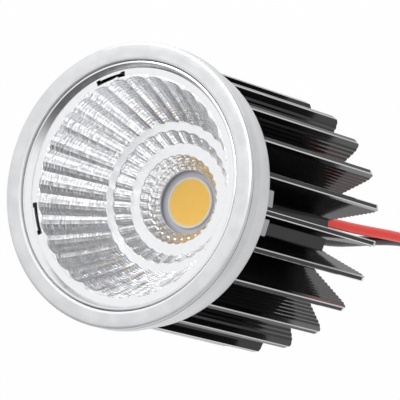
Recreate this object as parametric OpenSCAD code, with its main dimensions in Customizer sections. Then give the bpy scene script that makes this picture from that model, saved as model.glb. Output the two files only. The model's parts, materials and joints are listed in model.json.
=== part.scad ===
// Round spotlight module with a chip-on-board LED. Millimetres, +Z is the way the light leaves.
// The origin is the centre of the ring's front face, and the leads hang down along -Z.

/* [Front ring] */
// Outer diameter of the ring's locating land
rim_d = 50; // [49.5:0.1:51]
// Width of the front face, from the opening to the outer edge
face_w = 3.1; // [2.8:0.1:3.3]
// Depth from the front face to the rear edge
ring_h = 8.2; // [7.6:0.1:9]
// How far the side wall has tapered in at the rear edge
ring_taper = 1.2; // [0.8:0.1:1.4]
// Thickness of the side wall at the rear edge
ring_wall = 1.5; // [1.3:0.1:1.7]
// Chamfer round the outer edge of the front face
rim_chamfer = 0.4; // [0.2:0.1:0.6]
// Chamfer round the opening
opening_chamfer = 0.3; // [0.1:0.1:0.4]
// Length of the cylindrical land behind the chamfer
land_len = 2.4; // [2:0.1:3]
// Depth from the front face to the shelf that carries the reflector
shelf_depth = 2.5; // [2.3:0.1:2.8]
// Thickness of the shelf
shelf_t = 1.2; // [0.8:0.1:1.5]
// Width of the shelf
shelf_w = 1; // [0.7:0.1:1.2]
// Length that the legs stand out past the rear edge
leg_out = 2.9; // [2:0.1:4]
// Width of a leg
leg_w = 3; // [2.4:0.1:3.2]
// Radial thickness of a leg
leg_t = 1.3; // [1:0.1:1.5]

/* [Reflector] */
// Number of flutes in each tier
flutes = 30; // [24:1:32]
// Depth of a flute's hollow at the top of the outer tier
flute_depth = 0.5; // [0.3:0.05:0.6]
// Thickness of the moulded flange
flange_t = 1; // [0.8:0.1:1.2]
// Height of the rim bead above the flange
bead_h = 1.2; // [0.8:0.1:1.3]
// Width of the rim bead
bead_w = 0.85; // [0.7:0.05:0.9]
// Width of the flange round the outer tier, with the bead
flange_w = 2.75; // [2.55:0.05:3]
// Radius at the foot of the outer tier
tier1_foot_r = 13.05; // [12.8:0.05:13.3]
// Radius at the top of the middle tier
tier2_top_r = 11.4; // [11:0.1:11.8]
// Radius at the foot of the middle tier
tier2_foot_r = 9.7; // [9.4:0.1:10]
// Radius at the top of the inner tier
tier3_top_r = 7.6; // [7.4:0.1:8]
// Radius of the light opening at the foot of the inner tier
light_hole_r = 5.7; // [5.5:0.1:6]
// Depth from the front face to the first ledge
ledge1_depth = 14; // [13.6:0.1:14.2]
// Depth from the front face to the second ledge
ledge2_depth = 16.7; // [16.4:0.1:16.8]
// Wall of the reflector's tiers
wall_t = 0.9; // [0.8:0.1:1]

/* [Heat sink] */
// Number of fins
fins = 22; // [18:1:24]
// Outer diameter over the fins
fin_d = 46.5; // [45.6:0.1:47]
// Thickness of a fin at its tip
fin_tip_t = 1; // [0.8:0.05:1.2]
// Thickness of a fin at its root
fin_root_t = 1.35; // [1.2:0.05:1.5]
// Pitch of the grooves along the fins' flanks
groove_pitch = 0.85; // [0.8:0.05:1.2]
// Depth of those grooves
groove_depth = 0.14; // [0.08:0.02:0.2]
// Diameter of the solid core
core_d = 24; // [23.5:0.1:25]
// Overall length from the front face to the rear end of the fins
body_len = 48.5; // [46:0.5:55]
// Corner radius at the rear of each fin
corner_r = 2.4; // [1:0.1:3]
// Diameter of the chip pocket's floor
pocket_d = 20.4; // [20:0.1:20.8]

/* [Light source] */
// Side of the square chip board
board_w = 13.5; // [13:0.1:13.8]
// Thickness of the chip board
board_t = 1; // [0.8:0.1:1.2]
// Depth from the front face to the chip board
board_depth = 21; // [20.9:0.1:21.4]
// Diameter of the phosphor disc
phosphor_d = 8.2; // [7.6:0.1:9]
// Width of the dam round the phosphor
dam_w = 0.5; // [0.4:0.1:0.7]
// Height of the dam above the board
dam_h = 0.5; // [0.3:0.1:0.6]
// Thickness of the thermal pad
pad_t = 0.3; // [0.2:0.1:0.4]

/* [Leads] */
// Diameter over a lead's insulation
lead_d = 1.9; // [1.7:0.1:2]
// Diameter of the stranded conductor
conductor_d = 0.9; // [0.7:0.1:1]
// Length of bare, tinned conductor at a free end
strip_len = 6; // [5:1:8]
// Wall of the bush between a lead and the heat sink
bush_wall = 0.5; // [0.4:0.05:0.6]
// Depth that the bush's sleeves reach into the heat sink
bush_in = 4; // [3:0.5:6]
// Thickness of the bush's flange on the rear face
bush_flange_t = 1; // [0.8:0.1:1.5]

/* [Hidden] */
$fn = 96;
eps = 0.01;

// Clearances of the fits
ring_fit = 0.15;     // reflector in the ring's bore
spigot_fit = 0.3;    // fins' turned spigot in the ring
seat_gap = 0.1;      // ring's rear edge to the fins' shoulder
recess_gap = 0.5;    // reflector's back to the turned recess
hole_fit = 0.25;     // lead in its drilled hole, across the diameter
bush_fit = 0.1;      // bush in its counterbore and lead in the bush, across the diameter

// Radii and depths worked out from the sizes above
rim_r = rim_d / 2;
opening_r = rim_r - face_w;
ring_rear_r = rim_r - ring_taper;
shelf_rear = shelf_depth + shelf_t;
fin_r = fin_d / 2;
core_r = core_d / 2;
pocket_r = pocket_d / 2;
spigot_bore_r = ring_rear_r - ring_wall;
spigot_r = spigot_bore_r - spigot_fit;
shoulder = ring_h + seat_gap;
seat_depth = board_depth + board_t + pad_t;
fin_step = 360 / fins;

// ---------------------------------------------------------------- front ring

leg_turn = 6.3;              // a leg's centre, measured from the fin that its pair straddles
leg_sweep = leg_w / (spigot_bore_r * PI) * 180;
leg_bed = 0.6;                // how far a leg is let into the side wall
leg_outer_r = spigot_bore_r + leg_bed;
leg_bevel = 0.4;

module ring_wall_section() {
    polygon([
        [opening_r, -opening_chamfer], [opening_r + opening_chamfer, 0],
        [rim_r - rim_chamfer, 0], [rim_r, -rim_chamfer],
        [rim_r, -rim_chamfer - land_len], [ring_rear_r, -ring_h],
        [spigot_bore_r, -ring_h], [spigot_bore_r, -shelf_rear],
        [opening_r - shelf_w, -shelf_rear], [opening_r - shelf_w, -shelf_depth],
        [opening_r, -shelf_depth]
    ]);
}

module ring_leg(turn) {
    rotate([0, 0, turn - leg_sweep / 2])
        rotate_extrude(angle = leg_sweep)
            polygon([
                [leg_outer_r - leg_t, -shelf_rear + eps], [leg_outer_r, -shelf_rear + eps],
                [leg_outer_r, -ring_h - leg_out + leg_bevel],
                [leg_outer_r - leg_bevel, -ring_h - leg_out],
                [leg_outer_r - leg_t, -ring_h - leg_out]
            ]);
}

module front_ring() {
    color("silver") union() {
        rotate_extrude() ring_wall_section();
        for (side = [0, 180], hand = [-1, 1]) ring_leg(side + hand * leg_turn);
    }
}

// ----------------------------------------------------------------- reflector

flute_facets = 5;                       // facets across one flute
columns = flutes * flute_facets;
flange_z = -(shelf_depth - flange_t);   // top of the flange, whose back rests on the shelf
rim_outer_r = opening_r - ring_fit;
tier1_top_r = rim_outer_r - flange_w;
bead_foot_r = rim_outer_r - bead_w;
bead_edge = 0.25;
slot_margin = 0.5;                      // from the bead to the U-shaped slots in the flange
slot_base_w = 0.65;                     // width of a slot's base, which runs along the flange
slot_arm_len = 0.25;                    // length of its two arms, on each side of the snap tongue
slot_outer_r = bead_foot_r - slot_margin;
slot_tongue_r = slot_outer_r - slot_arm_len;
slot_inner_r = slot_tongue_r - slot_base_w;
slot_columns = 7;
slot_turns = [0.303, 0.553];            // share of a turn at which each slot starts
slot_start = [for (turn = slot_turns) floor(columns * turn)];
tier_span = tier1_top_r - tier1_foot_r;
tier_fall = ledge1_depth + flange_z;
lip_gap = 0.2;                          // reflector's foot to the dam's top
lip_depth = board_depth - dam_h - lip_gap;
lip_land = 0.5;
crown_drop = 0.05;                      // flute tops below the flange

// One row per line: radius, height, hollow of the flutes and their shift in half flutes.
// The first rows face the light, the last ones are the plain back.
reflector_rows = [
    [rim_outer_r, flange_z + bead_h - bead_edge, 0, 0],
    [rim_outer_r - bead_edge, flange_z + bead_h, 0, 0],
    [bead_foot_r + bead_edge, flange_z + bead_h, 0, 0],
    [bead_foot_r, flange_z, 0, 0],
    [slot_outer_r, flange_z, 0, 0],
    [slot_tongue_r, flange_z, 0, 0],
    [slot_inner_r, flange_z, 0, 0],
    [tier1_top_r - flute_depth / 2, flange_z - crown_drop, flute_depth, 0],
    [tier1_top_r - tier_span * 0.30, flange_z - tier_fall * 0.33, flute_depth, 0],
    [tier1_top_r - tier_span * 0.64, flange_z - tier_fall * 0.67, flute_depth * 0.9, 0],
    [tier1_foot_r, -ledge1_depth, flute_depth * 0.6, 0],
    [tier2_top_r, -ledge1_depth, flute_depth * 0.6, 0],
    [tier2_foot_r, -ledge2_depth, flute_depth * 0.5, 0],
    [tier3_top_r, -ledge2_depth, flute_depth * 0.5, 0],
    [(tier3_top_r + light_hole_r) / 2, -(ledge2_depth + lip_depth - lip_land) / 2, flute_depth * 0.4, 1],
    [light_hole_r, -lip_depth + lip_land, 0, 0],
    [light_hole_r, -lip_depth, 0, 0],
    [light_hole_r + wall_t, -lip_depth, 0, 0],
    [tier3_top_r + wall_t, -ledge2_depth - wall_t, 0, 0],
    [tier2_foot_r + wall_t, -ledge2_depth - wall_t, 0, 0],
    [tier2_top_r + wall_t, -ledge1_depth - wall_t, 0, 0],
    [tier1_foot_r + wall_t, -ledge1_depth - wall_t, 0, 0],
    [slot_inner_r, flange_z - flange_t, 0, 0],
    [slot_tongue_r, flange_z - flange_t, 0, 0],
    [slot_outer_r, flange_z - flange_t, 0, 0],
    [rim_outer_r, flange_z - flange_t, 0, 0]
];
rows = len(reflector_rows);
front_slot_row = 4;    // rows 4 to 6 bound the slots on the front face
back_slot_row = 22;    // rows 22 to 24 bound them on the back

// Share of a flute's hollow at a column: 0 on a crest and 1 in the middle.
function hollow(column, shift) =
    let (u = ((column + shift * flute_facets / 2) % flute_facets) / flute_facets)
    4 * u * (1 - u);

function reflector_point(row, column) =
    let (
        turn = 360 * column / columns,
        r = row[0] + row[2] * hollow(column, row[3])
    ) [r * cos(turn), r * sin(turn), row[1]];

// Place of a column within its slot, or -1 between slots.
function slot_place(column) =
    let (hits = [for (s = slot_start) if (column >= s && column < s + slot_columns) column - s])
    len(hits) > 0 ? hits[0] : -1;

function at_slot_end(place) = place == 0 || place == slot_columns - 1;

// The slot's arms are open at its two ends and its base is open all along.
function cell_open(band, column) =
    let (place = slot_place(column % columns))
    place >= 0 && (band == 1 || (band == 0 && at_slot_end(place)));

function corner(row, column) = (row % rows) * columns + (column % columns);

// Band of the slot that a row of cells belongs to: 0 outer, 1 inner, -1 none.
function slot_band(row) =
    row == front_slot_row ? 0 :
    row == front_slot_row + 1 ? 1 :
    row == back_slot_row ? 1 :
    row == back_slot_row + 1 ? 0 : -1;

function quad(a, b, c, d) = [[a, b, c], [a, c, d]];

skin_faces = [
    for (i = [0:rows - 1], j = [0:columns - 1])
        if (slot_band(i) < 0 || !cell_open(slot_band(i), j))
            each quad(corner(i, j), corner(i + 1, j), corner(i + 1, j + 1), corner(i, j + 1))
];

// Front and back rows at a slot's boundary: 0 outer edge, 1 tongue, 2 inner edge.
function front_row(edge) = front_slot_row + edge;
function back_row(edge) = back_slot_row + 2 - edge;

// Walls of the slots along the circles and along the radii.
slot_faces = [
    for (band = [0, 1], j = [0:columns - 1]) if (cell_open(band, j)) each concat(
        (band == 0 || !cell_open(0, j))
            ? quad(corner(front_row(band), j + 1), corner(front_row(band), j),
                   corner(back_row(band), j), corner(back_row(band), j + 1)) : [],
        band == 1
            ? quad(corner(front_row(2), j), corner(front_row(2), j + 1),
                   corner(back_row(2), j + 1), corner(back_row(2), j)) : [],
        !cell_open(band, j + columns - 1)
            ? quad(corner(front_row(band), j), corner(front_row(band + 1), j),
                   corner(back_row(band + 1), j), corner(back_row(band), j)) : [],
        !cell_open(band, j + 1)
            ? quad(corner(front_row(band + 1), j + 1), corner(front_row(band), j + 1),
                   corner(back_row(band), j + 1), corner(back_row(band + 1), j + 1)) : []
    )
];

module reflector() {
    color("gainsboro")
        polyhedron(
            points = [for (row = reflector_rows, j = [0:columns - 1]) reflector_point(row, j)],
            faces = concat(skin_faces, slot_faces)
        );
}

// ----------------------------------------------------------------- heat sink

root_land = 0.9;             // smooth stretch of a flank at its root
tip_land = 0.6;              // smooth stretch at its tip
groove_first = core_r + root_land;
groove_count = floor((fin_r - tip_land - groove_first) / groove_pitch);
tip_bevel = 0.2;

function fin_half(r) = (fin_root_t + (fin_tip_t - fin_root_t) * (r - core_r) / (fin_r - core_r)) / 2;

// Right flank of a fin from its root to its tip, with crests and grooves in turn.
flank = concat(
    [[core_r - eps, fin_half(core_r)]],
    [for (k = [0:groove_count - 1], s = [0, 1])
        let (r = groove_first + (k + s / 2) * groove_pitch)
        [r, fin_half(r) - s * groove_depth]],
    [[fin_r - tip_bevel, fin_half(fin_r)], [fin_r, fin_half(fin_r) - tip_bevel]]
);

function turned(p, a) = [p[0] * cos(a) - p[1] * sin(a), p[0] * sin(a) + p[1] * cos(a)];

fin_star = [
    for (k = [0:fins - 1]) each concat(
        [for (p = flank) turned([p[0], -p[1]], k * fin_step)],
        [for (i = [len(flank) - 1:-1:0]) turned(flank[i], k * fin_step)]
    )
];

corner_steps = 4;

// Half section of the turned envelope: spigot, shoulder and rounded rear corners.
module envelope_section() {
    polygon(concat(
        [[0, -shelf_rear], [spigot_r, -shelf_rear], [spigot_r, -shoulder], [fin_r + eps, -shoulder]],
        [for (k = [0:corner_steps]) let (a = 90 * k / corner_steps)
            [fin_r + eps - corner_r * (1 - cos(a)), -body_len + corner_r * (1 - sin(a))]],
        [[0, -body_len]]
    ));
}

cut_past = 1;                // how far a cut starts outside the surface it opens
recess_mouth_r = tier1_top_r + wall_t + recess_gap / 2;
step1_depth = ledge1_depth + wall_t + recess_gap;
step2_depth = ledge2_depth + wall_t + recess_gap;

// Half section of the recess that clears the reflector and ends in the chip pocket.
module recess_section() {
    polygon([
        [0, -shelf_rear + cut_past], [recess_mouth_r, -shelf_rear + cut_past],
        [recess_mouth_r, -shelf_rear],
        [tier1_foot_r + wall_t + recess_gap, -step1_depth],
        [tier2_top_r + wall_t + recess_gap, -step1_depth],
        [tier2_foot_r + wall_t + recess_gap, -step2_depth],
        [pocket_r, -step2_depth], [pocket_r, -seat_depth], [0, -seat_depth]
    ]);
}

// The two leads leave side by side through drilled holes, beside the board.
lead_x = 8;
lead_mid_y = 1;
lead_pitch = 3.6;
red_xy = [lead_x, lead_mid_y + lead_pitch / 2];
black_xy = [lead_x, lead_mid_y - lead_pitch / 2];
sleeve_d = lead_d + bush_fit + 2 * bush_wall;

screw_r = 7.6;           // distance of a board screw from the axis
screw_turn = 90;
screw_d = 2;
screw_len = 5;
screw_head_d = 3.6;
screw_head_t = 0.5;
thread_fit = 0.02;       // screw in its drilled hole, across the diameter
tip_gap = 0.5;           // screw's tip to the bottom of its hole
notch_d = 2.4;           // notch in the board's edge round a screw
function screw_xy(side) = screw_r * [cos(screw_turn + side), sin(screw_turn + side)];

module heat_sink() {
    color([0.08, 0.08, 0.09]) difference() {
        intersection() {
            translate([0, 0, -body_len - cut_past]) linear_extrude(body_len) polygon(fin_star);
            rotate_extrude() envelope_section();
        }
        rotate_extrude() recess_section();
        for (p = [red_xy, black_xy]) {
            translate([p[0], p[1], -body_len - cut_past])
                cylinder(d = lead_d + hole_fit, h = body_len, $fn = 32);
            translate([p[0], p[1], -body_len - cut_past])
                cylinder(d = sleeve_d + bush_fit, h = bush_in + cut_past + bush_fit, $fn = 32);
        }
        for (side = [0, 180])
            translate([each screw_xy(side), -seat_depth - screw_len])
                cylinder(d = screw_d, h = screw_len + cut_past, $fn = 32);
    }
}

// -------------------------------------------------------------- light source

board_z = -board_depth;
contact_x = 5.9;
contact_y = 4.6;
contact_t = 0.1;
contact_w = 1.6;
contact_len = 2.2;
solder_h = 1;
solder_foot_r = 0.8;
solder_top_r = 0.5;
tail_fit = 0.04;                      // tail in its solder, across the diameter
tail_lift = conductor_d / 2 + 0.05;   // height of a tail's middle above its contact

module board_outline() {
    difference() {
        square(board_w, center = true);
        for (side = [0, 180]) rotate(screw_turn + side) {
            translate([screw_r, 0]) circle(d = notch_d, $fn = 32);
            translate([screw_r, -notch_d / 2]) square([board_w, notch_d]);
        }
    }
}

module thermal_pad() {
    color("lightgrey") translate([0, 0, -seat_depth]) linear_extrude(pad_t) board_outline();
}

module chip_board() {
    color("whitesmoke") translate([0, 0, board_z - board_t]) linear_extrude(board_t) board_outline();
}

dam_r = phosphor_d / 2 + dam_w;

// The dam is a cast bead of clear white silicone with a rounded top.
module phosphor_dam() {
    color("white") rotate_extrude() {
        translate([phosphor_d / 2, board_z]) square([dam_w, dam_h - dam_w / 4]);
        translate([phosphor_d / 2 + dam_w / 4, board_z]) square([dam_w / 2, dam_h]);
    }
}

module phosphor_disc() {
    color([0.96, 0.72, 0.25]) translate([0, 0, board_z]) cylinder(d = phosphor_d, h = dam_h * 0.7);
}

module contact(side) {
    color("gold") translate([contact_x, side * contact_y, board_z + contact_t / 2])
        cube([contact_w, contact_len, contact_t], center = true);
}

// A joint is a blunt cone of solder with the conductor's end let into its side.
module solder(xy, side) {
    step = [contact_x, side * contact_y] - xy;
    color("silver") translate([contact_x, side * contact_y, board_z + contact_t]) difference() {
        cylinder(r1 = solder_foot_r, r2 = solder_top_r, h = solder_h, $fn = 32);
        translate([0, 0, tail_lift])
            rotate([0, -90, atan2(step[1], step[0])])
                cylinder(d = conductor_d + tail_fit, h = 2 * solder_foot_r, $fn = 32);
    }
}

module board_screw(side) {
    color("silver") translate([each screw_xy(side), 0]) {
        translate([0, 0, board_z]) cylinder(d = screw_head_d, h = screw_head_t, $fn = 48);
        translate([0, 0, -seat_depth - screw_len + tip_gap])
            cylinder(d = screw_d - thread_fit, h = board_t + pad_t + screw_len - tip_gap + eps, $fn = 32);
    }
}

// --------------------------------------------------------------------- leads

// Free stretch of each lead, from the heat sink's rear face to its stripped end.
red_route = [
    [8, 2.8, -48.5], [7.9, 2.8, -54], [7.8, 2.9, -60], [7.7, 3.1, -66], [7.6, 3.4, -72],
    [7.5, 3.7, -78], [7.5, 3.9, -84], [7.6, 4, -90], [7.8, 4, -96], [8.1, 3.9, -102],
    [8.5, 3.7, -108], [8.9, 3.4, -114], [9.3, 3, -120], [9.7, 2.5, -126], [10, 2, -132],
    [10.2, 1.5, -138], [10.3, 1, -144], [10.3, 0.6, -150], [10.2, 0.3, -156]
];
black_route = [
    [8, -0.8, -48.5], [7.9, -0.6, -54], [7.5, -0.1, -60], [6.9, 0.7, -66], [6.3, 1.6, -72],
    [5.8, 2.5, -78], [5.4, 3.2, -84], [5.1, 3.7, -90], [4.9, 4, -96], [4.8, 4.1, -102],
    [4.8, 4, -108], [4.9, 3.7, -114], [5.1, 3.2, -120], [5.4, 2.5, -126], [5.7, 1.7, -132],
    [6, 0.9, -138], [6.2, 0.1, -144], [6.3, -0.6, -150], [6.3, -1.2, -156]
];
tube_sides = 8;

function unit(v) = v / norm(v);

function heading(route, i) =
    unit(route[min(i + 1, len(route) - 1)] - route[max(i - 1, 0)]);

// Ring of points round one point of a route, square to the way the route runs.
// The vector across is roughly square to the whole route.
function tube_ring(route, i, d, across) =
    let (
        t = heading(route, i),
        side = unit(cross(across, t)),
        up = cross(t, side)
    )
    [for (k = [0:tube_sides - 1]) let (a = 360 * k / tube_sides)
        route[i] + d / 2 * (cos(a) * side + sin(a) * up)];

module tube(route, d, across = [0, 1, 0]) {
    last = len(route) - 1;
    polyhedron(
        points = [for (i = [0:last]) each tube_ring(route, i, d, across)],
        faces = concat(
            [[for (k = [0:tube_sides - 1]) k]],
            [for (i = [0:last - 1], k = [0:tube_sides - 1])
                let (m = (k + 1) % tube_sides, b = i * tube_sides)
                [b + k, b + tube_sides + k, b + tube_sides + m, b + m]],
            [[for (k = [tube_sides - 1:-1:0]) last * tube_sides + k]]
        )
    );
}

inner_drop = 0.4;
inner_top = -seat_depth - inner_drop;   // where the insulation ends, just inside the hole

// Bare conductor that rises out of a lead's hole, bends over and lies on its contact.
module tail(xy, side) {
    contact_xy = [contact_x, side * contact_y];
    step = contact_xy - xy;
    low = board_z + contact_t + tail_lift;
    route = [
        [each xy, inner_top], [each xy, board_z - 0.5],
        [each (xy + 0.12 * step), board_z + 0.1],
        [each (xy + 0.3 * step), low], [each contact_xy, low]
    ];
    color(tinned) tube(route, conductor_d, cross([0, 0, 1], [each step, 0]));
}

module lead_inner(xy, shade) {
    color(shade) translate([xy[0], xy[1], -body_len])
        cylinder(d = lead_d, h = body_len + inner_top, $fn = 32);
}

// Straight stripped end, along the way the lead's last stretch runs.
function end_route(route) =
    let (tip = route[len(route) - 1], t = unit(tip - route[len(route) - 2]))
    [tip, tip + strip_len * t];

bush_flange_over = 0.8;   // how far the bush's flange stands out past a sleeve

module lead_bush() {
    flange_w = sleeve_d + 2 * bush_flange_over;
    color("dimgray") difference() {
        union() {
            for (p = [red_xy, black_xy]) {
                translate([p[0], p[1], -body_len - bush_flange_t])
                    cylinder(d = flange_w, h = bush_flange_t, $fn = 48);
                translate([p[0], p[1], -body_len - eps])
                    cylinder(d = sleeve_d, h = bush_in + eps, $fn = 48);
            }
            translate([lead_x - flange_w / 2, lead_mid_y - lead_pitch / 2, -body_len - bush_flange_t])
                cube([flange_w, lead_pitch, bush_flange_t]);
        }
        for (p = [red_xy, black_xy])
            translate([p[0], p[1], -body_len - bush_flange_t - cut_past])
                cylinder(d = lead_d + bush_fit, h = bush_in + bush_flange_t + 2 * cut_past, $fn = 32);
    }
}

red = [0.85, 0.16, 0.14];
black = [0.07, 0.07, 0.07];
tinned = [0.72, 0.72, 0.7];

front_ring();
reflector();
heat_sink();
thermal_pad();
chip_board();
phosphor_dam();
phosphor_disc();
contact(1);  // contact_plus
contact(-1);  // contact_minus
solder(red_xy, 1);  // solder_plus
solder(black_xy, -1);  // solder_minus
board_screw(0);  // board_screw_left
board_screw(180);  // board_screw_right
lead_bush();
lead_inner(red_xy, red);  // red_lead_inner
lead_inner(black_xy, black);  // black_lead_inner
tail(red_xy, 1);  // red_tail
tail(black_xy, -1);  // black_tail
color(red) tube(red_route, lead_d);  // red_lead
color(black) tube(black_route, lead_d);  // black_lead
color(tinned) tube(end_route(red_route), conductor_d);  // red_lead_end
color(tinned) tube(end_route(black_route), conductor_d);  // black_lead_end
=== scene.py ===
"""Looks of a round spotlight module: ring, fluted reflector, chip light, heat sink and leads.

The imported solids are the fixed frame. Every detailed piece below stands for one of them and
is modelled in metres, in the same place.
"""
import json
import logging
import math
from dataclasses import dataclass, field
from enum import Enum
from typing import Callable

import bmesh
import bpy
from mathutils import Matrix, Vector

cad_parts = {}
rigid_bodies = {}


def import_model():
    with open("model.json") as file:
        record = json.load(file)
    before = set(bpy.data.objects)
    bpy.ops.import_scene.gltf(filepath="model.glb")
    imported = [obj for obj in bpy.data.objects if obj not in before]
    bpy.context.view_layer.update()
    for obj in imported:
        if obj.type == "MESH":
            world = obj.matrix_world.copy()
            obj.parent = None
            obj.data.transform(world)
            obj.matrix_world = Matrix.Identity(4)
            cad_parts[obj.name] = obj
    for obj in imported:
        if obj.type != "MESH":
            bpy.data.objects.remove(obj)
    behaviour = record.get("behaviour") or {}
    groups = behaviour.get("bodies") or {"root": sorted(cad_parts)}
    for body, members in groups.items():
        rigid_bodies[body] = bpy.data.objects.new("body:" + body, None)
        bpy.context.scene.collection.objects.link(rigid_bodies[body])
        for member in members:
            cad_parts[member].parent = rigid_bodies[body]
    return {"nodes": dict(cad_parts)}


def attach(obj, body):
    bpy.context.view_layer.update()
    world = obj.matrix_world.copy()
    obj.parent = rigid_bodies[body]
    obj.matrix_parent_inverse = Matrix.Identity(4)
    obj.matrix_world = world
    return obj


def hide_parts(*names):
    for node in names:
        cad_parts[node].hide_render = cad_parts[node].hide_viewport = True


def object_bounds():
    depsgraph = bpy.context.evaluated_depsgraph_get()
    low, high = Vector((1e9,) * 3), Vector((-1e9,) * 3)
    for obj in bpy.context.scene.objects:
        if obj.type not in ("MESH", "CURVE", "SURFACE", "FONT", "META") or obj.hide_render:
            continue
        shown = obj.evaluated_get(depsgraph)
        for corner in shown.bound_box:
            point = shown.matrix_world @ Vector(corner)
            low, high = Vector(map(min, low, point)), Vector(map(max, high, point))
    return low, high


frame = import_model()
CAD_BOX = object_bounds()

logging.basicConfig(level=logging.INFO, format="%(message)s")
log = logging.getLogger("spotlight")

MM = 0.001
BODY = "root"
WELD = 0.0005 * MM
ORIGIN = (0, 0, 0)
Row = tuple[float, float]
ShellRow = tuple[float, float, float, float]
Color = tuple[float, float, float]
Socket = bpy.types.NodeSocket


# ----- small tools


def deselect_all() -> None:
    """Leaves no object selected, so that an operator acts on its own piece alone."""
    for other in bpy.context.view_layer.objects:
        other.select_set(False)


def activate(piece: bpy.types.Object) -> None:
    """Makes one object the active and only selected one.

    Args:
        piece: The object that the next operators act on.
    """
    deselect_all()
    piece.select_set(True)
    bpy.context.view_layer.objects.active = piece


def enter_edit(piece: bpy.types.Object) -> None:
    """Makes a piece the only selected one and opens it in edit mode."""
    activate(piece)
    bpy.ops.object.mode_set(mode="EDIT")


def leave_edit() -> None:
    """Goes back to object mode."""
    bpy.ops.object.mode_set(mode="OBJECT")


def select_verts(piece: bpy.types.Object, wanted: Callable[[Vector], bool]) -> None:
    """Selects the vertices of the edited piece that a test picks.

    Args:
        piece: The object that is open in edit mode.
        wanted: Says of a vertex's place whether it is picked.
    """
    mesh = bmesh.from_edit_mesh(piece.data)
    bpy.ops.mesh.select_mode(type="VERT")
    for vert in mesh.verts:
        vert.select = wanted(vert.co)
    mesh.select_flush_mode()
    bmesh.update_edit_mesh(piece.data, loop_triangles=False, destructive=False)


def select_faces(piece: bpy.types.Object, wanted: Callable[[bmesh.types.BMFace], bool]) -> None:
    """Selects the faces of the edited piece that a test picks.

    Args:
        piece: The object that is open in edit mode.
        wanted: Says of a face whether it is picked.
    """
    mesh = bmesh.from_edit_mesh(piece.data)
    bpy.ops.mesh.select_mode(type="FACE")
    for face in mesh.faces:
        face.select = wanted(face)
    mesh.select_flush_mode()
    bmesh.update_edit_mesh(piece.data, loop_triangles=False, destructive=False)


def face_outwards() -> None:
    """Turns every face of the edited piece outwards."""
    bpy.ops.mesh.select_all(action="SELECT")
    bpy.ops.mesh.normals_make_consistent(inside=False)


def freeze() -> None:
    """Puts the selected pieces' origins at the frame's origin, with no rotation or scale left."""
    bpy.ops.object.transform_apply(location=True, rotation=True, scale=True)


def turn_about_axis(radians: float) -> None:
    """Turns what is selected about the Z axis through the frame's origin."""
    bpy.ops.transform.rotate(value=-radians, orient_axis="Z", center_override=ORIGIN)


def apply_modifiers(piece: bpy.types.Object) -> None:
    """Applies every modifier of a piece, in order.

    Args:
        piece: The object whose modifiers become mesh.
    """
    activate(piece)
    for modifier in list(piece.modifiers):
        bpy.ops.object.modifier_apply(modifier=modifier.name)


def settle(piece: bpy.types.Object, angle: float = 35.0) -> None:
    """Puts a finished piece's origin at the frame's origin and shades it smooth by angle.

    Args:
        piece: The finished mesh object.
        angle: Edges sharper than this many degrees stay sharp.
    """
    activate(piece)
    freeze()
    bpy.ops.object.shade_smooth_by_angle(angle=math.radians(angle))


def join(pieces: list[bpy.types.Object], name: str) -> bpy.types.Object:
    """Joins several meshes into one piece.

    Args:
        pieces: The objects, the first of which stays.
        name: The name of the joined piece.

    Returns:
        The joined object.
    """
    activate(pieces[0])
    for piece in pieces[1:]:
        piece.select_set(True)
    bpy.ops.object.join()
    pieces[0].name = name
    return pieces[0]


def place(piece: bpy.types.Object, slot: str, material: bpy.types.Material, *nodes: str) -> None:
    """Dresses a piece, makes it ride on the body and lets it stand for its solids.

    Args:
        piece: The finished piece.
        slot: The record's material slot. Not used.
        material: What the piece is made of.
        nodes: The solids that the piece stands for.
    """
    piece.data.materials.clear()
    piece.data.materials.append(material)
    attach(piece, BODY)
    if nodes:
        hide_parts(*nodes)
    faces = len(piece.data.polygons) if piece.type == "MESH" else 0
    log.info("%s: %d faces, stands for %s", piece.name, faces, ", ".join(nodes) or "no solid")


# ----- materials


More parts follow.
